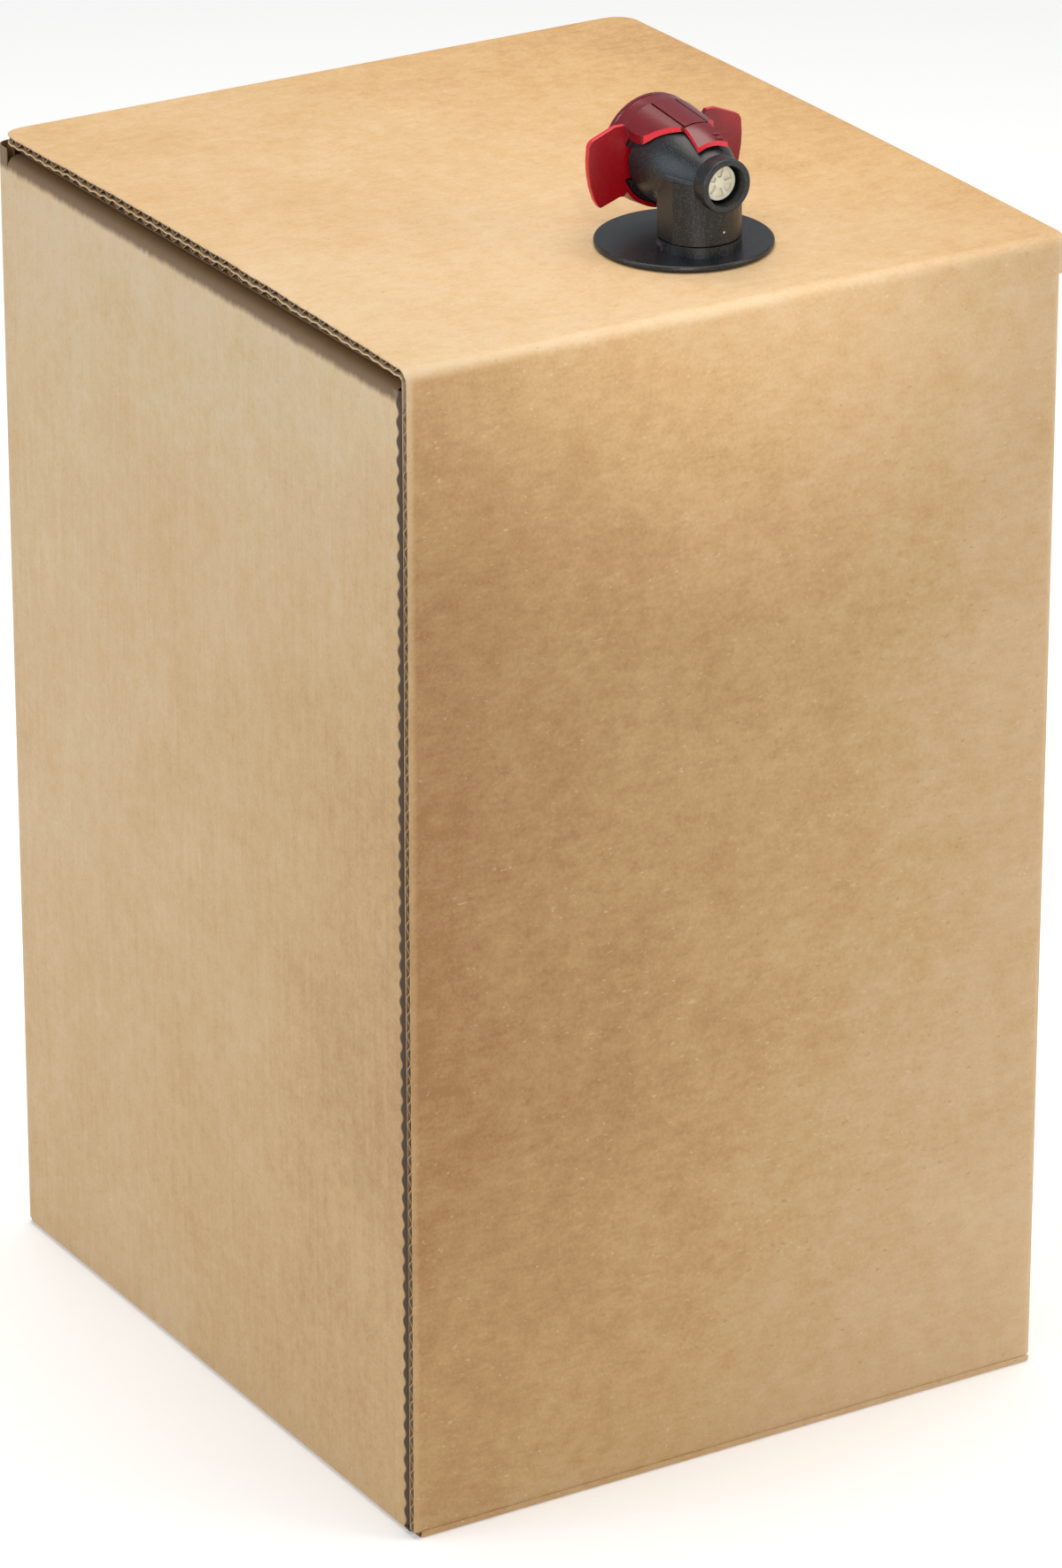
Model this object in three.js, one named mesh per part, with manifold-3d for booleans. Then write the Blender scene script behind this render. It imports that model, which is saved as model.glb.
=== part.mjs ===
// Bag in box carton: a closed corrugated carton with a filled film bag inside and a press tap that stands on its lid.
// Millimetres, +Z up. The origin is the middle of the base, and the front panel looks along -Y.
// The tap is built in a frame of its own: X across the tap, Y up from the barrel's axis, Z towards the nozzle.
import * as THREE from "three";
import { mergeVertices } from "three/addons/utils/BufferGeometryUtils.js";
import Module from "manifold-3d";

const wasm = await Module();
wasm.setup();

// Carton
const CARTON_WIDTH = 232;
const CARTON_DEPTH = 258;
const CARTON_HEIGHT = 385;
const BOARD = 3;
const CREASE_INNER_RADIUS = 1.5;
const FLAP_GAP = 0.4;
const GLUE_TAB_WIDTH = 35;
const GLUE_PRESS = 0.2;
const SIDE_FLAP_CLEARANCE = 3.7;
const INNER_FLAP_INSET = 5;
const SLOT_WIDTH = 8;
const CORNER_SLIT = 0.6;
const CREASE_LEAD = 1;
const LID_END_GAP = 3.5;
const LID_CORNER_RADIUS = 8;
const CREASE_STEPS = 6;

// Bag
const BAG_CLEARANCE = 0.5;
const BAG_CORNER_RADIUS = 26;
const BAG_EDGE_RADIUS = 16;
const BAG_STEPS = 5;

// Clearance between touching pieces, and of the pieces that slide or turn
const SEAT_GAP = 0.3;

// Spout gland
const TAP_X = 12.3;
const TAP_FROM_FRONT = 44.8;
const DISC_RADIUS = 27.5;
const DISC_THICKNESS = 1.8;
const DISC_OFFSET = 8.5;
const DISC_RIM_RADIUS = 0.7;
const GLAND_BORE_RADIUS = 11.2;
const GLAND_WALL = 1.8;
const GLAND_HOLE_CLEARANCE = 0.6;
const COLLAR_HEIGHT = 3.4;
const WELD_FLANGE_RADIUS = 22;
const WELD_FLANGE_THICKNESS = 1.6;

// Tap body
const AXIS_ABOVE_LID = 25.1;
const NECK_WIDTH = 24.7;
const NECK_FLAT_LENGTH = 8.6;
const NECK_ARC_RADIUS = 13.6;
const PLUG_LENGTH = 13;
const NECK_BORE_RADIUS = 8.5;
const BARREL_RADIUS = 14;
const RIM_FLANGE_RADIUS = 15;
const RIM_FLANGE_LENGTH = 3.6;
const CHAMBER_RADIUS = 10.5;
const SHOULDER_START = -12;
const NOZZLE_START = 9.3;
const NOZZLE_END = 15.3;
const NOZZLE_RADIUS = 8.45;
const NOZZLE_ROOT_RADIUS = 8.1;
const NOZZLE_EDGE = 0.6;
const MOUTH_RADIUS = 6.5;
const SEAT_PLANE = 8.2;
const SEAT_LENGTH = 1.7;
const SEAT_BORE_RADIUS = 4.8;
const CHAMBER_CONE_START = 1;

// Wing grip
const CUP_RADIUS = 17.2;
const CUP_FRONT_RADIUS = 16.6;
const CUP_REAR = -28.7;
const CUP_FRONT = -19.3;
const CUP_LIP_RADIUS = 11.5;
const CUP_LIP_THICKNESS = 1.2;
const CUP_WALL = 1.9;
const BEAD_WIDTH = 2;
const BEAD_GROOVE_WIDTH = 0.9;
const BEAD_GROOVE_DEPTH = 0.6;
const WING_SPAN = 27.5;
const WING_TOP = 11.9;
const WING_BOTTOM = 13.1;
const WING_THICKNESS = 2;
const WING_EDGE = 0.4;
const TONGUE_REACH = 11.9;
const TONGUE_HALF_HEIGHT = 5.2;
const SHIELD_THICKNESS = 1.5;
const SHIELD_FRONT = 7.3;
const SHIELD_MIDDLE_RADIUS = 15.1;
const SHIELD_FRONT_RADIUS = 12;
const TEAR_LINE = -2.1;
const STRIP_HALF_WIDTH = 4.2;
const TAB_HALF_WIDTH = 5.2;
const LOBE_HALF_WIDTH = 13.4;
const LOBE_FRONT = -11;
const TEAR_GROOVE_WIDTH = 0.6;
const TEAR_GROOVE_DEPTH = 0.5;

// Press button
const BUTTON_RIM_THICKNESS = 0.9;
const BUTTON_HEIGHT = 6.2;
const BUTTON_CROWN_RADIUS = 7.2;
const BUTTON_SKIRT_RADIUS = 10;
const BUTTON_SKIN = 1.1;
const BUTTON_CROWN_THICKNESS = 2.2;
const HUB_WALL = 1.5;
const HUB_DEPTH = 3.4;

// Valve
const STEM_RADIUS = 2.4;
const VALVE_RADIUS = 5.5;
const VALVE_THICKNESS = 1.5;
const VALVE_POCKETS = 6;
const POCKET_DEPTH = 1;
const POCKET_INNER_RADIUS = 1.7;
const POCKET_OUTER_RADIUS = 4.4;
const SPOKE_ANGLE = 0.36;
const SEAL_RADIUS = 5.7;
const SEAL_THICKNESS = 0.9;
const GUIDE_RIB_THICKNESS = 1.2;
const GUIDE_RIB_LENGTH = 8;
const GUIDE_RIBS = 4;

// How finely the round shapes are cut
const ROUND_STEPS = 48;
const DISC_STEPS = 64;
const SMALL_ARC_STEPS = 4;
const CUT_OVERRUN = 2;

// Levels and places that follow from the sizes above
const CREASE_RADIUS = BOARD + CREASE_INNER_RADIUS;
const INNER_FLAP_TOP = CARTON_HEIGHT - BOARD - FLAP_GAP;
const SIDE_FLAP_TOP = INNER_FLAP_TOP - BOARD - FLAP_GAP;
const WALL_TOP = SIDE_FLAP_TOP - CREASE_RADIUS - CREASE_LEAD;
const TAP_Y = TAP_FROM_FRONT - CARTON_DEPTH / 2;
const SIDE_FLAP_LENGTH = CARTON_WIDTH / 2 - TAP_X - WELD_FLANGE_RADIUS - SIDE_FLAP_CLEARANCE;
const GLAND_RADIUS = GLAND_BORE_RADIUS + GLAND_WALL;
const DISC_BASE = CARTON_HEIGHT + SEAT_GAP;
const COLLAR_TOP = DISC_BASE + DISC_THICKNESS + COLLAR_HEIGHT;
const FLANGE_TOP = INNER_FLAP_TOP - BOARD - SEAT_GAP;
const FLANGE_BASE = FLANGE_TOP - WELD_FLANGE_THICKNESS;
const AXIS_HEIGHT = CARTON_HEIGHT + AXIS_ABOVE_LID;
const NECK_BASE = COLLAR_TOP + SEAT_GAP - AXIS_HEIGHT;
const BODY_REAR = CUP_FRONT + SEAT_GAP + 1 - RIM_FLANGE_LENGTH;
const BUTTON_RIM_FRONT = BODY_REAR - SEAT_GAP;
const BUTTON_RIM_REAR = BUTTON_RIM_FRONT - BUTTON_RIM_THICKNESS;
const CUP_LIP_FRONT = BUTTON_RIM_REAR - SEAT_GAP;
const CUP_BORE_RADIUS = RIM_FLANGE_RADIUS + SEAT_GAP;
const BUTTON_REAR = BUTTON_RIM_REAR - BUTTON_HEIGHT;
const SEAL_REAR = SEAT_PLANE + SEAT_GAP;
const VALVE_REAR = SEAL_REAR + SEAL_THICKNESS + SEAT_GAP;
const VALVE_FRONT = VALVE_REAR + VALVE_THICKNESS;
const STEM_REAR = BUTTON_REAR + BUTTON_CROWN_THICKNESS + SEAT_GAP;

// Solids

function solidOf(geometry) {
  geometry.deleteAttribute("normal");
  geometry.deleteAttribute("uv");
  const merged = mergeVertices(geometry, 1e-5);
  return new wasm.Manifold(
    new wasm.Mesh({
      numProp: 3,
      vertProperties: new Float32Array(merged.getAttribute("position").array),
      triVerts: new Uint32Array(merged.index.array),
    }),
  );
}

function join(first, ...rest) {
  return rest.reduce((whole, piece) => whole.add(piece), first);
}

function cut(whole, ...cutters) {
  return cutters.reduce((left, cutter) => left.subtract(cutter), whole);
}

function meshOf(name, solid, material) {
  // asOriginal lets flat faces that were joined edge to edge become one
  const { vertProperties, triVerts } = solid.asOriginal().getMesh();
  const geometry = new THREE.BufferGeometry();
  geometry.setAttribute("position", new THREE.BufferAttribute(vertProperties, 3));
  geometry.setIndex(new THREE.BufferAttribute(triVerts, 1));
  const faceted = geometry.toNonIndexed();
  faceted.computeVertexNormals();
  const mesh = new THREE.Mesh(faceted, material);
  mesh.name = name;
  return mesh;
}

function finish(color, roughness) {
  return new THREE.MeshStandardMaterial({ color, roughness, metalness: 0 });
}

// Points of an arc, angles in degrees
function arc(centreX, centreY, radius, from, to, steps) {
  return Array.from({ length: steps + 1 }, (_, i) => {
    const angle = THREE.MathUtils.degToRad(from + ((to - from) * i) / steps);
    return [centreX + radius * Math.cos(angle), centreY + radius * Math.sin(angle)];
  });
}

function shapeOf(points) {
  return new THREE.Shape(points.map(([x, y]) => new THREE.Vector2(x, y)));
}

// An outline drawn in X and Y, drawn out along Z
function prism(points, low, high) {
  const geometry = new THREE.ExtrudeGeometry(shapeOf(points), { depth: high - low, bevelEnabled: false });
  return solidOf(geometry.translate(0, 0, low));
}

// In the tap's frame: an outline seen from above, [across, towards the nozzle], drawn out upwards
function upright(points, low, high) {
  const plan = points.map(([across, forward]) => [across, -forward]);
  const geometry = new THREE.ExtrudeGeometry(shapeOf(plan), { depth: high - low, bevelEnabled: false });
  return solidOf(geometry.translate(0, 0, low).rotateX(-Math.PI / 2));
}

// A profile of [radius, place along the axis] turned round the Z axis
function turned(profile, steps = ROUND_STEPS) {
  const points = profile.map(([radius, along]) => new THREE.Vector2(radius, along));
  return solidOf(new THREE.LatheGeometry(points, steps).rotateX(Math.PI / 2));
}

// A turned ring: its profile doesn't reach the axis and closes on itself
function turnedRing(profile, steps = ROUND_STEPS) {
  return turned([...profile, profile[0]], steps);
}

// A straight round rod along Z
function rod(radius, low, high, steps = ROUND_STEPS) {
  return turned([[0, low], [radius, low], [radius, high], [0, high]], steps);
}

// A box given by its two corners
function block(low, high) {
  return prism([[low[0], low[1]], [high[0], low[1]], [high[0], high[1]], [low[0], high[1]]], low[2], high[2]);
}

// Carton

// The walls seen from above: the glue tab at the front left lies behind the front panel, whose cut edge shows
function wallOutline() {
  const x = CARTON_WIDTH / 2;
  const y = CARTON_DEPTH / 2;
  const r = CREASE_RADIUS;
  const tabFold = -y + BOARD + r - GLUE_PRESS;
  const pinch = THREE.MathUtils.radToDeg(Math.acos((r - GLUE_PRESS) / r));
  return [
    [-x, -y],
    ...arc(x - r, -y + r, r, -90, 0, CREASE_STEPS),
    ...arc(x - r, y - r, r, 0, 90, CREASE_STEPS),
    ...arc(-x + r, y - r, r, 90, 180, CREASE_STEPS),
    ...arc(-x + r, tabFold, r, 180, 270 - pinch, CREASE_STEPS),
    [-x, -y + BOARD],
  ];
}

function wallHole() {
  const x = CARTON_WIDTH / 2 - BOARD;
  const y = CARTON_DEPTH / 2 - BOARD;
  const r = CREASE_INNER_RADIUS;
  const tabEnd = -CARTON_WIDTH / 2 + GLUE_TAB_WIDTH;
  const tabInside = -y + BOARD - GLUE_PRESS;
  return [
    [tabEnd, -y],
    [tabEnd, tabInside],
    ...arc(-x + r, tabInside + r, r, 270, 180, CREASE_STEPS),
    ...arc(-x + r, y - r, r, 180, 90, CREASE_STEPS),
    ...arc(x - r, y - r, r, 90, 0, CREASE_STEPS),
    ...arc(x - r, -y + r, r, 0, -90, CREASE_STEPS),
  ];
}

function walls() {
  const outline = shapeOf(wallOutline());
  outline.holes.push(shapeOf(wallHole()));
  const low = CARTON_HEIGHT - WALL_TOP;
  const geometry = new THREE.ExtrudeGeometry(outline, { depth: WALL_TOP - low, bevelEnabled: false });
  return solidOf(geometry.translate(0, 0, low));
}

// A top flap seen along its crease, [inwards from the wall's face, up], with the piece of wall that carries it
function flapProfile(top, length) {
  const turn = top - CREASE_RADIUS;
  return [
    [0, WALL_TOP - CREASE_RADIUS],
    [BOARD, WALL_TOP - CREASE_RADIUS],
    ...arc(CREASE_RADIUS, turn, CREASE_INNER_RADIUS, 180, 90, CREASE_STEPS),
    [length, top - BOARD],
    [length, top],
    ...arc(CREASE_RADIUS, turn, CREASE_RADIUS, 90, 180, CREASE_STEPS),
  ];
}

// side counts quarter turns from the front panel, anticlockwise seen from above
function flap(side, top, length, from, to) {
  const wallDistance = (side % 2 ? CARTON_WIDTH : CARTON_DEPTH) / 2;
  const geometry = new THREE.ExtrudeGeometry(shapeOf(flapProfile(top, length)), {
    depth: to - from,
    bevelEnabled: false,
  });
  geometry.translate(0, 0, from);
  geometry.applyMatrix4(new THREE.Matrix4().makeBasis(
    new THREE.Vector3(0, 1, 0),
    new THREE.Vector3(0, 0, 1),
    new THREE.Vector3(1, 0, 0),
  ));
  geometry.translate(0, -wallDistance, 0);
  geometry.rotateZ((side * Math.PI) / 2);
  return solidOf(geometry);
}

// Cuts away the square corners of the outer flap's free end
function lidCornerCutter(side) {
  const x = CARTON_WIDTH / 2 + CUT_OVERRUN;
  const y = CARTON_DEPTH / 2;
  const end = y - LID_END_GAP;
  const r = LID_CORNER_RADIUS;
  const edge = CARTON_WIDTH / 2;
  const points = [
    [edge, end - r],
    [x, end - r],
    [x, end + CUT_OVERRUN],
    [edge - r, end + CUT_OVERRUN],
    ...arc(edge - r, end - r, r, 90, 0, CREASE_STEPS).slice(0, -1),
  ];
  const mirrored = points.map(([px, py]) => [-px, py]).reverse();
  return prism(side > 0 ? points : mirrored, CARTON_HEIGHT - BOARD - FLAP_GAP / 2, CARTON_HEIGHT + CUT_OVERRUN);
}

// Parts the outer flap from the rounded corner beside its crease
function cornerSlitCutter() {
  const straightEnd = CARTON_WIDTH / 2 - CREASE_RADIUS - CORNER_SLIT;
  const front = -CARTON_DEPTH / 2;
  return block(
    [straightEnd, front - CUT_OVERRUN, WALL_TOP - CREASE_RADIUS - CUT_OVERRUN],
    [CARTON_WIDTH / 2 + CUT_OVERRUN, front + 2 * BOARD, WALL_TOP + CORNER_SLIT],
  );
}

function outerFlap() {
  const edge = CARTON_WIDTH / 2;
  const sheet = flap(0, CARTON_HEIGHT, CARTON_DEPTH - LID_END_GAP, -edge, edge);
  return cut(sheet, lidCornerCutter(1), lidCornerCutter(-1), cornerSlitCutter());
}

// The four flaps of one end, stacked: the sides' flaps lie innermost, then the back's, then the front's
function closedFlaps() {
  const backEdge = CARTON_WIDTH / 2 - INNER_FLAP_INSET;
  const sideEdge = CARTON_DEPTH / 2 - SLOT_WIDTH;
  return join(
    outerFlap(),
    flap(2, INNER_FLAP_TOP, CARTON_DEPTH - BOARD - SLOT_WIDTH, -backEdge, backEdge),
    flap(1, SIDE_FLAP_TOP, SIDE_FLAP_LENGTH, -sideEdge, sideEdge),
    flap(3, SIDE_FLAP_TOP, SIDE_FLAP_LENGTH, -sideEdge, sideEdge),
  );
}

function carton() {
  const top = closedFlaps();
  const bottom = closedFlaps().mirror([0, 0, 1]).translate([0, 0, CARTON_HEIGHT]);
  const spoutHole = rod(GLAND_RADIUS + GLAND_HOLE_CLEARANCE, FLANGE_BASE, CARTON_HEIGHT + CUT_OVERRUN);
  return cut(join(walls(), top, bottom), spoutHole.translate([TAP_X, TAP_Y, 0]));
}

// Bag: it fills the carton and carries the spout on a raised patch between the side flaps

function innerBag() {
  const halfWidth = CARTON_WIDTH / 2 - BOARD - BAG_CLEARANCE;
  const front = -CARTON_DEPTH / 2 + 2 * BOARD + BAG_CLEARANCE;
  const back = CARTON_DEPTH / 2 - BOARD - BAG_CLEARANCE;
  const top = SIDE_FLAP_TOP - BOARD - BAG_CLEARANCE;
  const base = CARTON_HEIGHT - SIDE_FLAP_TOP + BOARD + BAG_CLEARANCE;
  const e = BAG_EDGE_RADIUS;
  const r = BAG_CORNER_RADIUS - e;
  const x = halfWidth - e - r;
  const outline = [
    ...arc(x, front + e + r, r, -90, 0, BAG_STEPS),
    ...arc(x, back - e - r, r, 0, 90, BAG_STEPS),
    ...arc(-x, back - e - r, r, 90, 180, BAG_STEPS),
    ...arc(-x, front + e + r, r, 180, 270, BAG_STEPS),
  ];
  const geometry = new THREE.ExtrudeGeometry(shapeOf(outline), {
    depth: top - base - 2 * e,
    bevelThickness: e,
    bevelSize: e,
    bevelSegments: BAG_STEPS,
  });
  const patch = rod(WELD_FLANGE_RADIUS, top - e, FLANGE_BASE - SEAT_GAP);
  return join(solidOf(geometry.translate(0, 0, base + e)), patch.translate([TAP_X, TAP_Y, 0]));
}

// Spout gland: the disc lies on the lid, the weld flange under the flaps, and the tap's plug goes in its bore

function glandDisc() {
  const rim = DISC_RIM_RADIUS;
  const high = DISC_BASE + DISC_THICKNESS;
  const profile = [
    [0, DISC_BASE],
    ...arc(DISC_RADIUS - rim, DISC_BASE + rim, rim, -90, 0, SMALL_ARC_STEPS),
    ...arc(DISC_RADIUS - rim, high - rim, rim, 0, 90, SMALL_ARC_STEPS),
    [0, high],
  ];
  return turned(profile, DISC_STEPS).translate([TAP_X, TAP_Y + DISC_OFFSET, 0]);
}

function spoutGland() {
  const tube = join(
    rod(GLAND_RADIUS, FLANGE_BASE, COLLAR_TOP),
    rod(WELD_FLANGE_RADIUS, FLANGE_BASE, FLANGE_TOP),
  ).translate([TAP_X, TAP_Y, 0]);
  const bore = rod(GLAND_BORE_RADIUS, FLANGE_BASE - CUT_OVERRUN, COLLAR_TOP + CUT_OVERRUN);
  return cut(join(glandDisc(), tube), bore.translate([TAP_X, TAP_Y, 0]));
}

// Tap body

// The neck seen from above: two flat sides, with a bowed front and back between sharp corners
function neckOutline() {
  const half = NECK_WIDTH / 2;
  const flat = NECK_FLAT_LENGTH / 2;
  const sweep = THREE.MathUtils.radToDeg(Math.asin(half / NECK_ARC_RADIUS));
  const centre = flat - Math.sqrt(NECK_ARC_RADIUS ** 2 - half ** 2);
  return [
    ...arc(0, centre, NECK_ARC_RADIUS, 90 - sweep, 90 + sweep, ROUND_STEPS / 4),
    ...arc(0, -centre, NECK_ARC_RADIUS, 270 - sweep, 270 + sweep, ROUND_STEPS / 4),
  ];
}

// The barrel's outer radius at a place along its axis, from the straight part over the rounded shoulder to the nozzle
function barrelRadius(along) {
  const share = Math.max(0, (along - SHOULDER_START) / (NOZZLE_START - SHOULDER_START));
  return BARREL_RADIUS - (BARREL_RADIUS - NOZZLE_ROOT_RADIUS) * share ** 2;
}

function barrelOutside() {
  const rimEnd = BODY_REAR + RIM_FLANGE_LENGTH;
  const shoulder = Array.from({ length: 13 }, (_, i) => {
    const along = SHOULDER_START + ((NOZZLE_START - SHOULDER_START) * i) / 12;
    return [barrelRadius(along), along];
  });
  return turned([
    [0, BODY_REAR],
    [RIM_FLANGE_RADIUS, BODY_REAR],
    [RIM_FLANGE_RADIUS, rimEnd],
    [BARREL_RADIUS, rimEnd],
    ...shoulder,
    [NOZZLE_RADIUS - NOZZLE_EDGE / 2, NOZZLE_START],
    [NOZZLE_RADIUS, NOZZLE_START + NOZZLE_EDGE],
    ...arc(NOZZLE_RADIUS - NOZZLE_EDGE, NOZZLE_END - NOZZLE_EDGE, NOZZLE_EDGE, 0, 90, SMALL_ARC_STEPS),
    [0, NOZZLE_END],
  ]);
}

function barrelBore() {
  return turned([
    [0, BODY_REAR - CUT_OVERRUN],
    [CHAMBER_RADIUS, BODY_REAR - CUT_OVERRUN],
    [CHAMBER_RADIUS, CHAMBER_CONE_START],
    [SEAT_BORE_RADIUS, SEAT_PLANE - SEAT_LENGTH],
    [SEAT_BORE_RADIUS, SEAT_PLANE],
    [MOUTH_RADIUS, SEAT_PLANE],
    [MOUTH_RADIUS, NOZZLE_END + CUT_OVERRUN],
    [0, NOZZLE_END + CUT_OVERRUN],
  ]);
}

function tongueSlot(side) {
  const near = side * (TONGUE_REACH - SEAT_GAP);
  const far = side * (RIM_FLANGE_RADIUS + CUT_OVERRUN);
  const half = TONGUE_HALF_HEIGHT + SEAT_GAP;
  return block(
    [Math.min(near, far), -half, BODY_REAR - CUT_OVERRUN],
    [Math.max(near, far), half, BODY_REAR + RIM_FLANGE_LENGTH],
  );
}

// A round piece of the neck, upright in the tap's frame
function uprightRod(radius, low, high) {
  return rod(radius, low, high).rotate([-90, 0, 0]);
}

function tapBody() {
  const plugRadius = GLAND_BORE_RADIUS - SEAT_GAP;
  const plugEnd = NECK_BASE - PLUG_LENGTH;
  const outside = join(
    barrelOutside(),
    upright(neckOutline(), NECK_BASE, 0),
    uprightRod(plugRadius, plugEnd, NECK_BASE + CUT_OVERRUN),
  );
  const bore = uprightRod(NECK_BORE_RADIUS, plugEnd - CUT_OVERRUN, 0);
  return cut(outside, barrelBore(), bore, tongueSlot(1), tongueSlot(-1));
}

// Wing grip: the rear cup, the two finger wings and the tear-off shield, moulded as one

function gripCup() {
  const grooveRear = CUP_REAR + BEAD_WIDTH;
  const edge = BEAD_GROOVE_DEPTH;
  const lipRear = CUP_LIP_FRONT - CUP_LIP_THICKNESS;
  return turnedRing([
    [CUP_RADIUS - CUP_WALL, CUP_REAR],
    [CUP_RADIUS - edge, CUP_REAR],
    [CUP_RADIUS, CUP_REAR + edge],
    [CUP_RADIUS, grooveRear - edge / 2],
    [CUP_RADIUS - BEAD_GROOVE_DEPTH, grooveRear],
    [CUP_RADIUS - BEAD_GROOVE_DEPTH, grooveRear + BEAD_GROOVE_WIDTH / 2],
    [CUP_RADIUS, grooveRear + BEAD_GROOVE_WIDTH],
    [CUP_FRONT_RADIUS, CUP_FRONT],
    [CUP_BORE_RADIUS, CUP_FRONT],
    [CUP_BORE_RADIUS, CUP_LIP_FRONT],
    [CUP_LIP_RADIUS, CUP_LIP_FRONT],
    [CUP_LIP_RADIUS, lipRear],
    [CUP_RADIUS - CUP_WALL, lipRear],
  ]);
}

// One wing seen from the front, out from the cup: a broad ear with a straight top and a hooked lower corner
function wingOutline() {
  const root = CUP_BORE_RADIUS + SEAT_GAP;
  return [
    [root - 3, WING_TOP - 3],
    [root - 3, -WING_TOP + 3],
    [root - 1, -WING_TOP + 1],
    [root + 0.5, -WING_TOP + 1.1],
    [WING_SPAN - 5.6, -WING_BOTTOM + 0.3],
    [WING_SPAN - 4.6, -WING_BOTTOM],
    [WING_SPAN - 3.7, -WING_BOTTOM + 0.7],
    [WING_SPAN - 2.4, -WING_BOTTOM + 2.8],
    [WING_SPAN - 1, -WING_BOTTOM + 7],
    [WING_SPAN - 0.2, -1.5],
    [WING_SPAN, 2.2],
    [WING_SPAN - 0.3, WING_TOP - 5],
    [WING_SPAN - 1, WING_TOP - 3.7],
    [WING_SPAN - 2, WING_TOP - 3],
    [WING_SPAN - 9.5, WING_TOP],
    [root - 1, WING_TOP],
  ];
}

function wing(side) {
  const points = wingOutline().map(([across, up]) => [side * across, up]);
  const geometry = new THREE.ExtrudeGeometry(shapeOf(points), {
    depth: WING_THICKNESS - 2 * WING_EDGE,
    bevelThickness: WING_EDGE,
    bevelSize: WING_EDGE,
    bevelOffset: -WING_EDGE,
    bevelSegments: 2,
  });
  const plate = solidOf(geometry.translate(0, 0, CUP_FRONT - WING_THICKNESS + WING_EDGE));
  const barrelRoom = rod(CUP_BORE_RADIUS, CUP_FRONT - 2 * WING_THICKNESS, CUP_FRONT + CUT_OVERRUN);
  return cut(plate, barrelRoom);
}

function tongue(side) {
  const near = side * TONGUE_REACH;
  const far = side * CUP_FRONT_RADIUS;
  return block(
    [Math.min(near, far), -TONGUE_HALF_HEIGHT, CUP_FRONT - WING_THICKNESS],
    [Math.max(near, far), TONGUE_HALF_HEIGHT, CUP_FRONT],
  );
}

function shieldRadius(along) {
  if (along <= TEAR_LINE) {
    const share = (along - CUP_FRONT) / (TEAR_LINE - CUP_FRONT);
    return THREE.MathUtils.lerp(CUP_FRONT_RADIUS + SEAT_GAP, SHIELD_MIDDLE_RADIUS, share);
  }
  const share = (along - TEAR_LINE) / (SHIELD_FRONT - TEAR_LINE);
  return THREE.MathUtils.lerp(SHIELD_MIDDLE_RADIUS, SHIELD_FRONT_RADIUS, share ** 1.3);
}

// The shell that the shield is cut from, with its skin taken in by depth
function shieldShell(depth, thickness) {
  const start = CUP_FRONT - WING_THICKNESS;
  const places = Array.from({ length: 15 }, (_, i) => THREE.MathUtils.lerp(start, SHIELD_FRONT, i / 14));
  const outer = places.map((along) => [shieldRadius(along) - depth, along]);
  const inner = places.map((along) => [shieldRadius(along) - depth - thickness, along]).reverse();
  return turnedRing([...inner.reverse(), ...outer.reverse()].reverse());
}

// The shield seen from above: two side lobes, the strip between them and the tab at its front
function shieldOutline() {
  const rear = CUP_FRONT - WING_THICKNESS;
  const half = [
    [LOBE_HALF_WIDTH, rear],
    [LOBE_HALF_WIDTH, CUP_FRONT + 1],
    [LOBE_HALF_WIDTH - 0.3, LOBE_FRONT - 3.5],
    [LOBE_HALF_WIDTH - 0.9, LOBE_FRONT - 1],
    [LOBE_HALF_WIDTH - 2, LOBE_FRONT + 0.6],
    [LOBE_HALF_WIDTH - 3.4, LOBE_FRONT + 2],
    [STRIP_HALF_WIDTH + 0.6, TEAR_LINE - 1],
    [STRIP_HALF_WIDTH, TEAR_LINE],
    [TAB_HALF_WIDTH, SHIELD_FRONT],
  ];
  const mirrored = half.map(([across, forward]) => [-across, forward]).reverse();
  return [...half, ...mirrored];
}

function tearGrooves() {
  const width = TEAR_GROOVE_WIDTH / 2;
  const skin = join(
    block([-STRIP_HALF_WIDTH - width, 0, CUP_FRONT - WING_THICKNESS], [-STRIP_HALF_WIDTH + width, 2 * CUP_RADIUS, TEAR_LINE]),
    block([STRIP_HALF_WIDTH - width, 0, CUP_FRONT - WING_THICKNESS], [STRIP_HALF_WIDTH + width, 2 * CUP_RADIUS, TEAR_LINE]),
    block([-TAB_HALF_WIDTH, 0, TEAR_LINE - width], [TAB_HALF_WIDTH, 2 * CUP_RADIUS, TEAR_LINE + width]),
  );
  return cut(skin, shieldCore());
}

// All that lies under the bottom of the tear grooves
function shieldCore() {
  const start = CUP_FRONT - 2 * WING_THICKNESS;
  const places = Array.from({ length: 15 }, (_, i) => THREE.MathUtils.lerp(start, SHIELD_FRONT, i / 14));
  const skin = places.map((along) => [shieldRadius(along) - TEAR_GROOVE_DEPTH, along]);
  return turned([[0, start], ...skin, [0, SHIELD_FRONT]]);
}

function wingGrip() {
  const above = upright(shieldOutline(), 0, 2 * CUP_RADIUS);
  const shield = shieldShell(0, SHIELD_THICKNESS).intersect(above);
  return cut(join(gripCup(), wing(1), wing(-1), tongue(1), tongue(-1), shield), tearGrooves());
}

// Press button: an elastomer dome whose rim is held between the body and the cup's lip, with a hub for the stem

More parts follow.
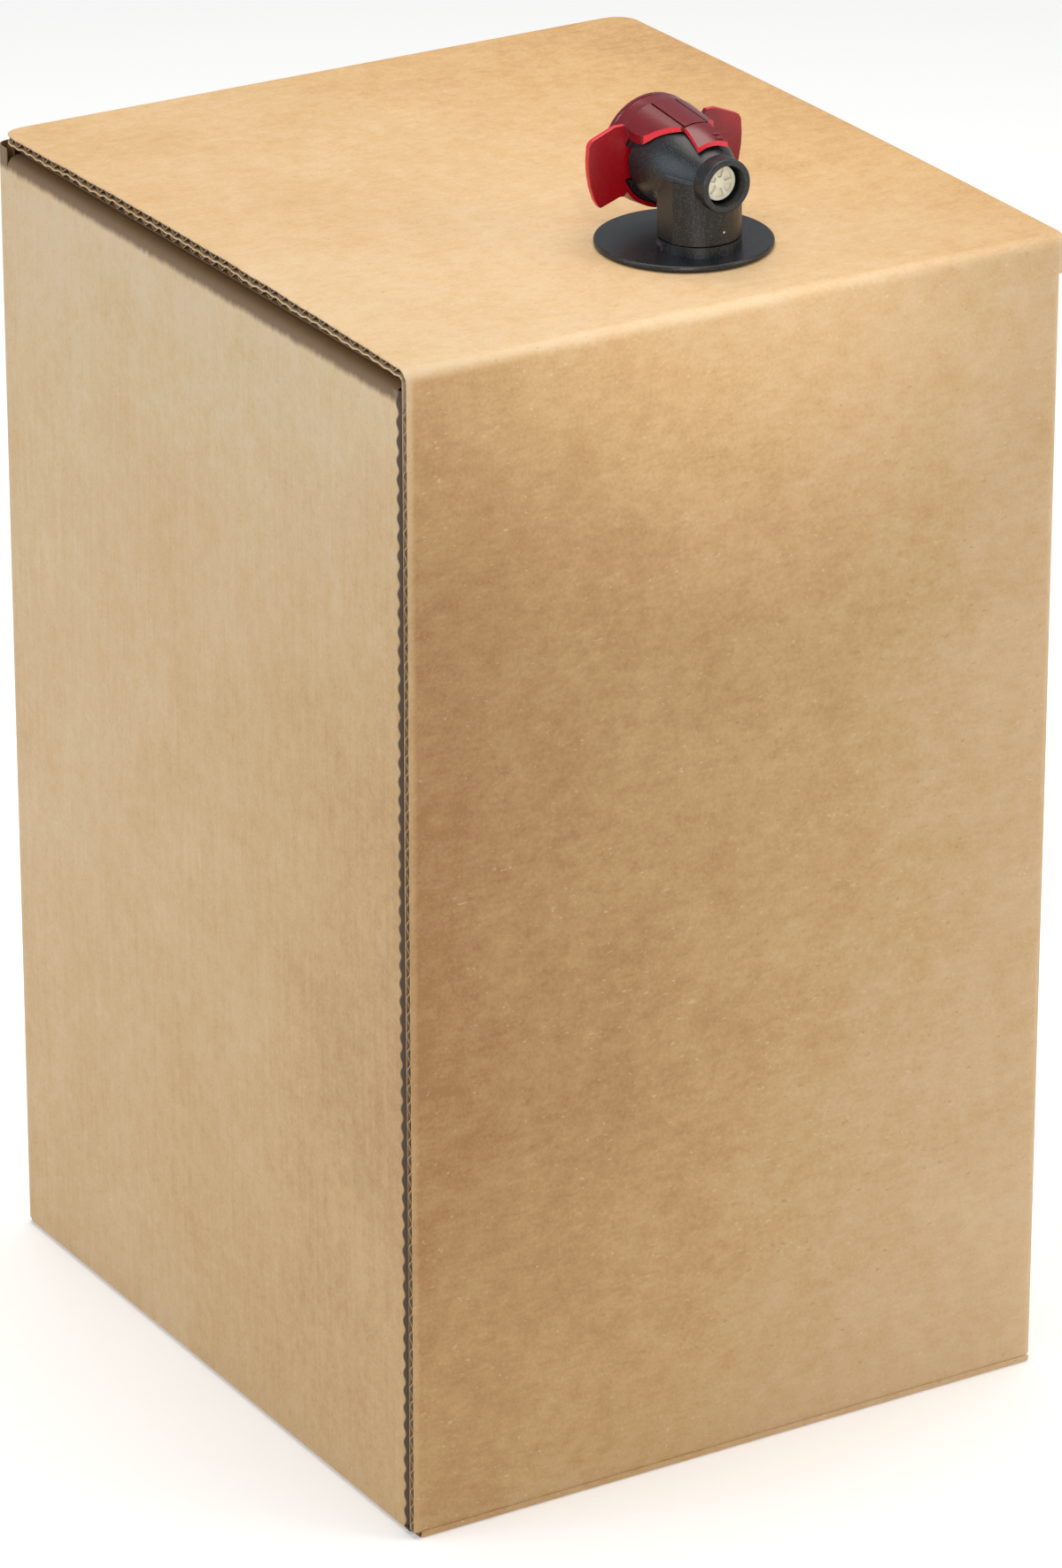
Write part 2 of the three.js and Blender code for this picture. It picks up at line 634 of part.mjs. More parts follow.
function pressButton() {
  const rimRadius = CUP_BORE_RADIUS - SEAT_GAP;
  const boreRadius = STEM_RADIUS + SEAT_GAP;
  const hubRadius = boreRadius + HUB_WALL;
  const underside = BUTTON_REAR + BUTTON_CROWN_THICKNESS;
  const skirtTop = BUTTON_REAR + BUTTON_HEIGHT * 0.35;
  return turned([
    [0, BUTTON_REAR],
    [BUTTON_CROWN_RADIUS * 0.6, BUTTON_REAR + 0.25],
    [BUTTON_CROWN_RADIUS, BUTTON_REAR + 1],
    [BUTTON_CROWN_RADIUS + 1.5, skirtTop],
    [BUTTON_SKIRT_RADIUS, BUTTON_RIM_REAR - BUTTON_SKIN],
    [BUTTON_SKIRT_RADIUS + BUTTON_SKIN, BUTTON_RIM_REAR],
    [rimRadius, BUTTON_RIM_REAR],
    [rimRadius, BUTTON_RIM_FRONT],
    [BUTTON_SKIRT_RADIUS, BUTTON_RIM_FRONT],
    [BUTTON_SKIRT_RADIUS - BUTTON_SKIN, BUTTON_RIM_REAR - BUTTON_SKIN],
    [BUTTON_CROWN_RADIUS + 1.5 - BUTTON_SKIN, skirtTop + BUTTON_SKIN],
    [BUTTON_CROWN_RADIUS - BUTTON_SKIN, underside],
    [hubRadius, underside],
    [hubRadius, underside + HUB_DEPTH],
    [boreRadius, underside + HUB_DEPTH],
    [boreRadius, underside],
    [0, underside],
  ]);
}

// Valve

function pocketCutter(index) {
  const pitch = (2 * Math.PI) / VALVE_POCKETS;
  const from = THREE.MathUtils.radToDeg(index * pitch + SPOKE_ANGLE / 2);
  const to = THREE.MathUtils.radToDeg((index + 1) * pitch - SPOKE_ANGLE / 2);
  const outline = [
    ...arc(0, 0, POCKET_OUTER_RADIUS, from, to, SMALL_ARC_STEPS),
    ...arc(0, 0, POCKET_INNER_RADIUS, to, from, SMALL_ARC_STEPS),
  ];
  return prism(outline, VALVE_FRONT - POCKET_DEPTH, VALVE_FRONT + CUT_OVERRUN);
}

function guideRib(index) {
  const reach = SEAT_BORE_RADIUS - SEAT_GAP;
  const end = SEAT_PLANE - SEAT_GAP;
  const rib = block([0, -GUIDE_RIB_THICKNESS / 2, end - GUIDE_RIB_LENGTH], [reach, GUIDE_RIB_THICKNESS / 2, end]);
  return rib.rotate([0, 0, (360 * index) / GUIDE_RIBS]);
}

function valvePlunger() {
  const stem = rod(STEM_RADIUS, STEM_REAR, VALVE_FRONT - POCKET_DEPTH / 2);
  const valve = rod(VALVE_RADIUS, VALVE_REAR, VALVE_FRONT);
  const ribs = Array.from({ length: GUIDE_RIBS }, (_, i) => guideRib(i));
  const pockets = Array.from({ length: VALVE_POCKETS }, (_, i) => pocketCutter(i));
  return cut(join(stem, valve, ...ribs), ...pockets);
}

function valveSeal() {
  return turnedRing([
    [STEM_RADIUS + SEAT_GAP, SEAL_REAR],
    [SEAL_RADIUS, SEAL_REAR],
    [SEAL_RADIUS, SEAL_REAR + SEAL_THICKNESS],
    [STEM_RADIUS + SEAT_GAP, SEAL_REAR + SEAL_THICKNESS],
  ]);
}

// Assembly

const kraft = finish(0xc9a26c, 0.85);
const film = finish(0xd9dcdc, 0.3);
const blackPlastic = finish(0x1c1f22, 0.5);
const redPlastic = finish(0x8c1020, 0.35);
const rubber = finish(0x24262a, 0.7);
const creamPlastic = finish(0xe6dfc8, 0.45);

const tap = new THREE.Group();
tap.position.set(TAP_X, TAP_Y, AXIS_HEIGHT);
tap.rotation.x = Math.PI / 2;
tap.add(
  meshOf("tap_body", tapBody(), blackPlastic),
  meshOf("wing_grip", wingGrip(), redPlastic),
  meshOf("press_button", pressButton(), rubber),
  meshOf("valve_plunger", valvePlunger(), creamPlastic),
  meshOf("valve_seal", valveSeal(), rubber),
);

const group = new THREE.Group();
group.add(
  meshOf("carton", carton(), kraft),
  meshOf("inner_bag", innerBag(), film),
  meshOf("spout_gland", spoutGland(), blackPlastic),
  tap,
);

export default group;
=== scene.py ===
import math

import bmesh
import bpy
from mathutils import Matrix, Vector, noise


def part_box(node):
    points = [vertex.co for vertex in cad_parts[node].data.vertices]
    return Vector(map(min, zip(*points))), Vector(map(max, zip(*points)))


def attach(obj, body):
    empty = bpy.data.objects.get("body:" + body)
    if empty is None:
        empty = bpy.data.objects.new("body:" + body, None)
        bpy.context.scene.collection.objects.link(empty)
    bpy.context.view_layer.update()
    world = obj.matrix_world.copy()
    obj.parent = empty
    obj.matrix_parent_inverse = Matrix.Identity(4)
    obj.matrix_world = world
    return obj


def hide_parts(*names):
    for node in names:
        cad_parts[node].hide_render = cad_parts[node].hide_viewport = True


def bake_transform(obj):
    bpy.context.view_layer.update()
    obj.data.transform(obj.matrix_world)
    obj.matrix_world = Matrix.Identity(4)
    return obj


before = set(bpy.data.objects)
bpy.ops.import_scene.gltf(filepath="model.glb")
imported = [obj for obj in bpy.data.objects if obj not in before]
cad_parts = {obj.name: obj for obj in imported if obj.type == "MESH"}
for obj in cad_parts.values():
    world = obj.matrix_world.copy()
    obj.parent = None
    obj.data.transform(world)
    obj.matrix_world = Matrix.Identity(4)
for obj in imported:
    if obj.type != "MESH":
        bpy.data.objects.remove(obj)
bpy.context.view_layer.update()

MM = 0.001

# Carton, from the frame
CARTON_LOW, CARTON_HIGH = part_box("carton")
HALF_WIDTH = CARTON_HIGH.x
HALF_DEPTH = CARTON_HIGH.y
HEIGHT = CARTON_HIGH.z

# Board: two liners with a wave of paper between them
BOARD = 3 * MM
LINER = 0.4 * MM
MEDIUM = 0.3 * MM
FLUTE_PITCH = 6 * MM
FLUTE_REACH = BOARD / 2 - LINER - MEDIUM / 2
FLUTE_STEPS = 10

# Creases, slots and flaps
CREASE_RADIUS = 4.5 * MM
CREASE_LEAD = 1 * MM
FLAP_GAP = 0.4 * MM
FLAP_LEVEL = BOARD + FLAP_GAP
LID_END_GAP = 3.5 * MM
LID_CORNER = 8 * MM
GLUE_TAB = 35 * MM
SIDE_FLAP = 78 * MM
INNER_FLAP_INSET = 5 * MM
SLOT = 8 * MM
SLIT = 0.2 * MM
BACK_CORNER_DROP = 1.6 * MM
FRONT_CORNER_DROP = 4.5 * MM
LID_BASE = HEIGHT - BOARD
WALL_TOP = HEIGHT - 2 * FLAP_LEVEL - CREASE_RADIUS - CREASE_LEAD
SIDE_FOLD = WALL_TOP + CREASE_LEAD
FLUTING_RECESS = 0.7 * MM

# Bottom, which the load presses onto the floor
BOTTOM_LIFT = 0.6 * MM
BOTTOM_CREASE = 1.8 * MM
WALL_BASE = BOTTOM_LIFT + BOTTOM_CREASE + 0.2 * MM
OUTER_BOTTOM_INSET = 2.5 * MM
BOTTOM_SIDE_INSET = 4.5 * MM

# Swell of the filled carton's walls: the power keeps it to the outer faces, so flaps inside stay flat
SIDE_SWELL = 1.1 * MM
FACE_SWELL = 0.9 * MM
WALL_RIPPLE = 0.35 * MM
SKIN_POWER = 9

# Dent down the left wall, beside its back edge
DENT_DEPTH = 0.55 * MM
DENT_INSET = 10.5 * MM
DENT_WIDTH = 2 * MM
DENT_START = 0.22
DENT_FADE = 0.12

# How the lid lies, and its crushed left edge
LID_BOW = 2.0 * MM
LID_BOW_FADE = 0.05
EDGE_FADE = 2.5 * MM
EDGE_SCALLOP = 0.55 * MM
EDGE_CRUSH = 0.7 * MM

# Grid sizes of the bent sheets
ARC_STEPS = 8
COARSE_STEP = 6 * MM
EDGE_STEP = 2 * MM
FINE_STEP = 1 * MM
WALL_COLUMNS = 48
LID_COLUMNS = 48
FLAP_COLUMNS = 12
SAFE_BEND = 0.85

# Tap, from the frame
TAP_LOW, TAP_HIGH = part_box("tap_body")
TAP_X = (TAP_LOW.x + TAP_HIGH.x) / 2
TAP_Y = -HALF_DEPTH + 44.8 * MM
AXIS_Z = HEIGHT + 25.1 * MM
GRIP_PLANE = TAP_Y + 19.3 * MM
WING_ROOT = 15.2 * MM
SHIELD_RADIUS = 15.1 * MM
SHIELD_SLOPE = 0.33
STRIP_HALF_WIDTH = 4.2 * MM
TEAR_LINE = 2.1 * MM
TEAR_Y = TAP_Y + TEAR_LINE

# Kraft paper's tones, from darkest to palest, which its grain and the painted light and shade of the panels run
# across; its flecks; and the browns of its painted shade and painted groove shadow
KRAFT_DEEP = (0.35, 0.175, 0.055)
KRAFT_MIDDLE = (0.53, 0.33, 0.145)
KRAFT_PALE = (0.6, 0.42, 0.235)
KRAFT_PALEST = (0.61, 0.455, 0.28)
PALE_FLECK = (0.78, 0.6, 0.4)
DARK_FLECK = (0.3, 0.16, 0.06)
SHADE_BROWN = (0.13, 0.065, 0.024)
GROOVE_SHADOW_BROWN = (0.04, 0.018, 0.006)
CORE_TONES = (0.27, 0.17, 0.09), (0.5, 0.36, 0.22)

# Mouldings: the darkest and the palest tone of each, the black's pale specks for painted glints, and the red's
# painted edge highlight and painted shade
BLACK_TONES = (0.0015, 0.0018, 0.002), (0.005, 0.006, 0.007)
BLACK_GLINT_SPECKS = (0.04, 0.042, 0.047)
RED_TONES = (0.2, 0.001, 0.004), (0.3, 0.0015, 0.006)
RED_EDGE_HIGHLIGHT = (0.62, 0.015, 0.03)
RED_SHADE = (0.085, 0.003, 0.008)
CREAM_TONES = (0.6, 0.54, 0.38), (0.75, 0.7, 0.55)
RUBBER_TONES = (0.012, 0.012, 0.013), (0.03, 0.03, 0.032)
FILM_TONES = (0.5, 0.52, 0.53), (0.7, 0.72, 0.73)

# Camera with a long lens, which looks from the front left and above, and the point that the lights face
CAMERA_YAW = math.radians(31.2)
CAMERA_PITCH = math.radians(23.5)
CAMERA_LENS = 178.5
CAMERA_DISTANCE = 6.45 * HEIGHT
AIM_RIGHT = 0.009 * HEIGHT
AIM_DOWN = 0.027 * HEIGHT
LIGHT_TARGET = (0, 0, 0.25)


# Camera, lights and floor

def place_camera():
    """The photo's view."""
    level = math.cos(CAMERA_PITCH)
    forward = Vector((math.sin(CAMERA_YAW) * level, math.cos(CAMERA_YAW) * level, -math.sin(CAMERA_PITCH)))
    right = forward.cross(Vector((0, 0, 1))).normalized()
    up = right.cross(forward)
    aim = Vector((0, 0, HEIGHT / 2)) + AIM_RIGHT * right - AIM_DOWN * up
    data = bpy.data.cameras.new("camera")
    data.lens = CAMERA_LENS
    data.sensor_width = 36
    data.clip_end = 50
    camera = bpy.data.objects.new("camera", data)
    camera.matrix_world = Matrix((right, up, -forward)).transposed().to_4x4()
    camera.location = aim - forward * CAMERA_DISTANCE
    bpy.context.scene.collection.objects.link(camera)
    bpy.context.scene.camera = camera


def add_light(name, data, place, target, watts):
    """A light that looks from its place at a target."""
    data.energy = watts
    light = bpy.data.objects.new(name, data)
    light.location = place
    light.rotation_euler = (Vector(target) - Vector(place)).to_track_quat("-Z", "Y").to_euler()
    bpy.context.scene.collection.objects.link(light)


def area_light(name, place, size, watts, colour):
    data = bpy.data.lights.new(name, "AREA")
    data.shape = "RECTANGLE"
    data.size, data.size_y = size
    data.color = colour
    add_light(name, data, place, LIGHT_TARGET, watts)


def tap_spot(name, place, watts):
    """A narrow soft spot that gives the black tap its highlights."""
    data = bpy.data.lights.new(name, "SPOT")
    data.spot_size = math.radians(6)
    data.spot_blend = 1.0
    data.shadow_soft_size = 0.09
    add_light(name, data, place, (TAP_X, TAP_Y, AXIS_Z), watts)


def light_studio():
    scene = bpy.context.scene
    scene.view_settings.view_transform = "Standard"
    world = bpy.data.worlds.new("studio")
    world.use_nodes = True
    background = world.node_tree.nodes["Background"]
    background.inputs["Color"].default_value = (0.93, 0.96, 1.0, 1)
    background.inputs["Strength"].default_value = 0.4
    scene.world = world
    area_light("overhead", (0.1, 0.1, 1.7), (1.4, 1.4), 23, (1.0, 0.95, 0.88))
    area_light("front_right", (1.3, -1.3, 0.9), (0.9, 1.2), 11.5, (1.0, 0.96, 0.9))
    area_light("left_soft", (-1.7, 0.3, 0.9), (1.2, 1.2), 11.5, (0.75, 0.88, 1.0))
    tap_spot("tap_glint", (-0.62, -1.2, 0.46), 90)
    tap_spot("tap_shine", (-0.5, -1.1, 1.15), 40)


def lay_floor():
    bpy.ops.mesh.primitive_plane_add(size=12, location=(0, 0, CARTON_LOW.z))
    floor = bpy.context.object
    floor.name = "studio_floor"
    paint = Finish("floor_paper", roughness=0.9)
    paint.colour((0.95, 0.95, 0.95))
    paint.shader.inputs["Emission Color"].default_value = (1, 1, 1, 1)
    paint.shader.inputs["Emission Strength"].default_value = 0.2
    floor.data.materials.append(paint.material)


# Shader maths

class Value:
    """A shader socket that can be used in Python arithmetic."""

    def __init__(self, finish, socket):
        self.finish = finish
        self.socket = socket

    def __add__(self, other):
        return self.finish.math("ADD", self, other)

    def __sub__(self, other):
        return self.finish.math("SUBTRACT", self, other)

    def __rsub__(self, other):
        return self.finish.math("SUBTRACT", other, self)

    def __mul__(self, other):
        return self.finish.math("MULTIPLY", self, other)

    def __truediv__(self, other):
        return self.finish.math("DIVIDE", self, other)

    __radd__ = __add__
    __rmul__ = __mul__

    def ramp(self, low, high):
        """0 below low and 1 above high, with a smooth step between."""
        return self.finish.node(
            "ShaderNodeMapRange",
            {"interpolation_type": "SMOOTHSTEP"},
            {"Value": self, "From Min": low, "From Max": high},
        )

    def clip(self):
        return self.finish.node("ShaderNodeClamp", {}, {"Value": self})

    def size(self):
        return self.finish.math("ABSOLUTE", self)


class Finish:
    """A material, with one method that adds any node."""

    def __init__(self, name, roughness=0.5, **constants):
        self.material = bpy.data.materials.new(name)
        self.material.use_nodes = True
        self.tree = self.material.node_tree
        self.shader = self.tree.nodes["Principled BSDF"]
        self.shader.inputs["Roughness"].default_value = roughness
        for key, value in constants.items():
            self.shader.inputs[key.replace("_", " ").title().replace("Ior", "IOR")].default_value = value

    def node(self, kind, settings, sockets, output=0):
        made = self.tree.nodes.new(kind)
        for key, value in settings.items():
            if key == "stops":
                self.set_stops(made.color_ramp, value)
            else:
                setattr(made, key, value)
        for key, value in sockets.items():
            self.feed(made.inputs[key], value)
        return Value(self, made.outputs[output])

    def set_stops(self, ramp, stops):
        while len(ramp.elements) < len(stops):
            ramp.elements.new(0.5)
        for element, (place, colour) in zip(ramp.elements, stops):
            element.position = place
            element.color = (*colour, 1)

    def feed(self, socket, value):
        if isinstance(value, Value):
            self.tree.links.new(value.socket, socket)
        elif socket.type == "RGBA" and len(value) == 3:
            socket.default_value = (*value, 1)
        else:
            socket.default_value = value

    def math(self, operation, *values):
        return self.node("ShaderNodeMath", {"operation": operation}, dict(enumerate(values)))

    def mix(self, share, first, second):
        """Colours mixed by a value."""
        sockets = {0: share, 6: first, 7: second}
        return self.node("ShaderNodeMix", {"data_type": "RGBA"}, sockets, output=2)

    def place(self):
        """The point on the piece, in metres."""
        return self.node("ShaderNodeTexCoord", {}, {}, output="Object")

    def axes(self):
        split = self.tree.nodes.new("ShaderNodeSeparateXYZ")
        self.feed(split.inputs[0], self.place())
        return [Value(self, split.outputs[axis]) for axis in "XYZ"]

    def noise(self, scale, detail=3.0, stretch=(1, 1, 1), shift=(0, 0, 0)):
        """Cloudy pattern from 0 to 1, drawn out along an axis where stretch is below 1."""
        moved = self.node(
            "ShaderNodeMapping",
            {},
            {"Vector": self.place(), "Scale": stretch, "Location": shift},
        )
        return self.node(
            "ShaderNodeTexNoise",
            {},
            {"Vector": moved, "Scale": scale, "Detail": detail, "Roughness": 0.55},
        )

    def colour(self, value):
        self.feed(self.shader.inputs["Base Color"], value)

    def roughness(self, value):
        self.feed(self.shader.inputs["Roughness"], value)

    def bump(self, height, distance, strength):
        normal = self.node(
            "ShaderNodeBump",
            {},
            {"Height": height, "Distance": distance, "Strength": strength},
        )
        self.feed(self.shader.inputs["Normal"], normal)


# Finishes

def painted_panel_light(x, y, z):
    """Painted light and shade: how pale the paper is, from 0 to 1, as light falls on each panel in its own way, and
    a mask that is 1 on the side walls.
    """
    right = (x + HALF_WIDTH) / (2 * HALF_WIDTH)
    back = (y + HALF_DEPTH) / (2 * HALF_DEPTH)
    up = z / HEIGHT
    middle = up - 0.45
    on_side = (x.size() - (HALF_WIDTH - BOARD)).ramp(0.0, 2.4 * MM)
    on_top = (z - (HEIGHT - CREASE_RADIUS)).ramp(0.0, 4 * MM)
    front = 0.02 + 0.82 * right + 1.7 * middle * middle * (1 - right) + 0.14 * (1 - up) * (1 - up)
    side = 0.76 + 0.28 * up - 0.5 * (1 - back) * (1 - back) * (1 - 4 * middle * middle)
    top = 1.02 - 0.28 * back - 0.4 * right * right
    tone = front + on_side * (side - front)
    return tone + on_top * (top - tone), on_side


def crease_highlight(x, y, z):
    """Painted highlight: 1 along the folded edges of the lid and the walls, where the rounded creases catch the
    light.
    """
    across = (x.size() - (HALF_WIDTH - CREASE_RADIUS)).ramp(0.0, CREASE_RADIUS)
    along = (y.size() - (HALF_DEPTH - CREASE_RADIUS)).ramp(0.0, CREASE_RADIUS)
    up = (z - (HEIGHT - CREASE_RADIUS)).ramp(0.0, CREASE_RADIUS)
    at_cut_edge = (0 - x).ramp(0, 1 * MM) * (0 - y).ramp(0, 1 * MM)
    return (across * along * (1 - at_cut_edge) + along * up).clip()


def fold_shade(paper, x, y, z, streak):
    """Two masks of painted shade: in the hollows under the lid's side edges, and as painted shadow in the groove
    beside the front panel's cut edge.
    """
    forward = 0 - y
    out = (x.size() - (HALF_WIDTH - 2 * BOARD)).ramp(0.0, 1 * MM)
    below_lid = 1 - z.ramp(LID_BASE - 0.6 * MM, LID_BASE)
    behind_front = 1 - forward.ramp(HALF_DEPTH - 5 * MM, HALF_DEPTH - 4 * MM)
    under = (z + streak * 2.4 * MM).ramp(SIDE_FOLD - 0.2 * MM, SIDE_FOLD + 2.6 * MM)
    wave = paper.math("SINE", z * (2 * math.pi / FLUTE_PITCH)) * 0.45 * MM
    groove = (forward + wave).ramp(HALF_DEPTH - 6.9 * MM, HALF_DEPTH - 6.1 * MM)
    groove = groove * (1 - forward.ramp(HALF_DEPTH - BOARD - 0.1 * MM, HALF_DEPTH - BOARD + 0.1 * MM))
    groove = groove * (0 - x).ramp(0, 1 * MM)
    return (out * under * below_lid * behind_front).clip(), (out * groove * below_lid).clip()


def kraft_liner():
    """Brown liner paper: cloudy tone, fine flecks, and fibres up the side walls and across the front, with painted
    light and shade per panel, a painted highlight along the creases and painted shade in the hollows.
    """
    paper = Finish("kraft_liner", roughness=0.62)
    x, y, z = paper.axes()
    # Painted light and shade of each panel: the top palest, the front darkest at its left
    base, on_side = painted_panel_light(x, y, z)
    cloud = paper.noise(9)
    patch = paper.noise(38, detail=4, shift=(3, 1, 2))
    mottle = paper.noise(190, detail=4, shift=(1, 6, 2))
    fine = paper.noise(900, detail=2)
    across = paper.noise(420, stretch=(0.3, 1, 1))
    upward = paper.noise(520, stretch=(1, 1, 0.06))
    fibre = across + on_side * (upward - across)
    grain = 0.4 * (cloud - 0.5) + 0.45 * (patch - 0.5) + 0.5 * (mottle - 0.5) + 0.5 * (fine - 0.5)
    # Painted highlight along the creases, added to the tone
    tone = base + grain + 0.42 * (fibre - 0.5) + 0.35 * crease_highlight(x, y, z)
    colour = paper.node(
        "ShaderNodeValToRGB",
        {"stops": [(0.0, KRAFT_DEEP), (0.5, KRAFT_MIDDLE), (0.85, KRAFT_PALE), (1.0, KRAFT_PALEST)]},
        {"Fac": tone / 1.2},
    )
    pale_fleck = paper.noise(1100, detail=1, stretch=(0.4, 1, 0.7), shift=(5, 7, 1)).ramp(0.69, 0.78)
    colour = paper.mix(pale_fleck * 0.3, colour, PALE_FLECK)
    dark_fleck = paper.noise(900, detail=1, stretch=(0.4, 1, 0.8), shift=(2, 9, 4)).ramp(0.7, 0.78)
    colour = paper.mix(dark_fleck * 0.35, colour, DARK_FLECK)
    under, groove = fold_shade(paper, x, y, z, fibre)
    # Painted shade under the lid's side edges, then painted shadow in the groove beside the front cut edge
    colour = paper.mix(under * 0.85, colour, SHADE_BROWN)
    paper.colour(paper.mix(groove * 0.95, colour, GROOVE_SHADOW_BROWN))
    paper.roughness(0.55 + 0.2 * fibre)
    paper.bump(fibre * 0.5 + fine * 0.3 + mottle * 0.6, distance=0.12 * MM, strength=0.5)
    return paper.material


def board_core():
    """The inside of the board: greyer, rougher paper that shows at the cut edges."""
    paper = Finish("board_core", roughness=0.85)
    fibre = paper.noise(700)
    paper.colour(paper.mix(fibre, *CORE_TONES))
    paper.bump(fibre, distance=0.1 * MM, strength=0.6)
    return paper.material


def moulded(
    name, tones, roughness, grain=1500, depth=0.03 * MM, rim=None, shade=None, glint_specks=None, patchy=0.24, **constants
):
    """Moulded plastic: a faint cloud, a fine grain and, if asked, pale specks as painted glints, a painted highlight
    on thin edges with painted shade in grooves, or painted shade over the barrel's top.
    """
    deep, pale = tones
    plastic = Finish(name, roughness=roughness, **constants)
    cloud = plastic.noise(180)
    spark = plastic.noise(grain, detail=2)
    colour = plastic.mix(cloud * 0.6 + spark * 0.4, deep, pale)
    # Pale specks in the colour that stand in for the black plastic's speckled glints: painted glints
    if glint_specks:
        colour = plastic.mix(spark.ramp(0.52, 0.68), colour, glint_specks)
    if shade:
        # Painted shade over the top of the shield above the barrel
        x, y, z = plastic.axes()
        over = 1 - (x - TAP_X).size().ramp(13.5 * MM, 15.5 * MM)
        colour = plastic.mix(over * (z - AXIS_Z).ramp(4 * MM, 12 * MM) * 0.75, colour, shade)
    # Painted highlight on thin edges where the mark is above 0, and painted shade in the tear grooves where it is -1
    if rim:
        edge = plastic.node("ShaderNodeAttribute", {"attribute_name": "rim"}, {}, output="Fac")
        colour = plastic.mix(edge.clip(), colour, rim)
        colour = plastic.mix((0 - edge).clip(), colour, tuple(c * 0.3 for c in deep))
    plastic.colour(colour)
    plastic.roughness(roughness - patchy / 2 + patchy * spark)
    plastic.bump(spark, distance=depth, strength=0.6)
    return plastic.material


def black_moulding():
    return moulded(
        "black_moulding", BLACK_TONES, 0.36, grain=2600, depth=0.06 * MM, glint_specks=BLACK_GLINT_SPECKS, patchy=0.28,
        specular_ior_level=0.5,
    )


def red_moulding():
    """Deep red plastic: painted shade darkens the top of the shield over the barrel, a painted highlight lights the
    thin edges, and the tear grooves get painted shade.
    """
    return moulded(
        "red_moulding", RED_TONES, 0.27, grain=700, depth=0.01 * MM, rim=RED_EDGE_HIGHLIGHT, shade=RED_SHADE, patchy=0.05,
        specular_ior_level=0.55,
    )


# Mesh helpers

def add_object(name, mesh_tool, material, body, replaced, sharp=35):
    """A piece from a bmesh, with edges sharper than an angle in degrees kept hard."""
    mesh = bpy.data.meshes.new(name)
    mesh_tool.to_mesh(mesh)
    mesh_tool.free()
    mesh.shade_smooth()
    mesh.set_sharp_from_angle(angle=math.radians(sharp))
    made = bpy.data.objects.new(name, mesh)
    bpy.context.scene.collection.objects.link(made)
    mesh.materials.append(material)
    if body:
        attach(made, body)
    if replaced:
        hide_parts(replaced)
    return made


def round_edges(tool, edges, offset, segments):
    bmesh.ops.bevel(
        tool, geom=edges, affect="EDGES", offset=offset, offset_type="OFFSET", segments=segments, profile=0.5,
        material=-1, clamp_overlap=True,
    )


def limited(value):
    return min(1.0, max(0.0, value))


# Carton: sheets that are bent along a path of stations, each a point and the outward direction there

def swell(point):
    """How far the filled carton's walls stand out at a point, as a move."""
    x, y, z = point
    across, along = x / HALF_WIDTH, y / HALF_DEPTH
    up = (z - HEIGHT / 2) / (HEIGHT / 2)
    belly = max(0.0, 1 - up ** 2)
    side_skin, face_skin = abs(across) ** SKIN_POWER, abs(along) ** SKIN_POWER
    ripple = noise.noise(Vector((x * 9, y * 9, z * 7))) * WALL_RIPPLE
    move = Vector((0, 0, 0))
    move.x = side_skin * belly * (math.copysign(SIDE_SWELL, x) * max(0.0, 1 - along ** 2) + ripple)
    move.y = face_skin * belly * (math.copysign(FACE_SWELL, y) * max(0.0, 1 - across ** 2) + ripple)
    if x < 0:
        from_dent = (y - HALF_DEPTH + DENT_INSET) / DENT_WIDTH
        move.x += DENT_DEPTH * limited((z - DENT_START) / DENT_FADE) * side_skin * math.exp(-from_dent ** 2)
    return move


def lid_bow(point):
    """The closed lid lifts a little along its left and right cut edges."""
    x, y, z = point
    share = limited((y + HALF_DEPTH) / (2 * HALF_DEPTH))
    left = math.exp(-(x + HALF_WIDTH) / LID_BOW_FADE)
    right = math.exp(-(HALF_WIDTH - x) / LID_BOW_FADE)
    return Vector((0, 0, LID_BOW * math.sin(math.pi * share) * (left + 0.5 * right)))


def lid_edge_wave(point):
    """The lid's left cut edge is a little crushed, and its lower liner is scalloped between the flutes."""
    x, y, z = point
    edge = math.exp(-(x + HALF_WIDTH) / EDGE_FADE) * limited((z - LID_BASE + 4 * MM) / (3 * MM))
    lower = 1.0 if z < HEIGHT - BOARD / 2 else 0.35
    scallop = 0.5 + 0.5 * math.sin(2 * math.pi * y / FLUTE_PITCH)
    crush = noise.noise(Vector((2, y * 70, 5)))
    return Vector((0, 0, edge * lower * (EDGE_SCALLOP * scallop + EDGE_CRUSH * crush)))


def arc_stations(centre, radius, start, end):
    for i in range(ARC_STEPS + 1):
        angle = math.radians(start + (end - start) * i / ARC_STEPS)
        direction = Vector((math.cos(angle), math.sin(angle)))
        yield centre + radius * direction, direction


def line_stations(start, end, direction, step):
    """Stations from one pair of coordinates to another."""
    start, end = Vector(start), Vector(end)
    steps = max(1, round((end - start).length / step))
    for i in range(steps + 1):
        yield start.lerp(end, i / steps), Vector(direction)


def without_repeats(stations):
    kept = []
    for point, direction in stations:
        if not kept or (point - kept[-1][0]).length > 1e-6:
            kept.append((point, direction))
    return kept


def resampled(stations, step):
    """The path again, at even steps, for the fluting."""
    kept = []
    for (a, n), (b, m) in zip(stations, stations[1:]):
        steps = max(1, round((b - a).length / step))
        kept += [(a.lerp(b, i / steps), n.lerp(m, i / steps).normalized()) for i in range(steps)]
    return kept + [stations[-1]]


def bend_radius(stations, row):
    """The path's radius at a station: board is crushed where it is thicker than its bend."""
    (a, n), (b, m) = stations[max(row - 1, 0)], stations[min(row + 1, len(stations) - 1)]
    turn = (m - n).length
    return (b - a).length / turn if turn > 0.02 else math.inf


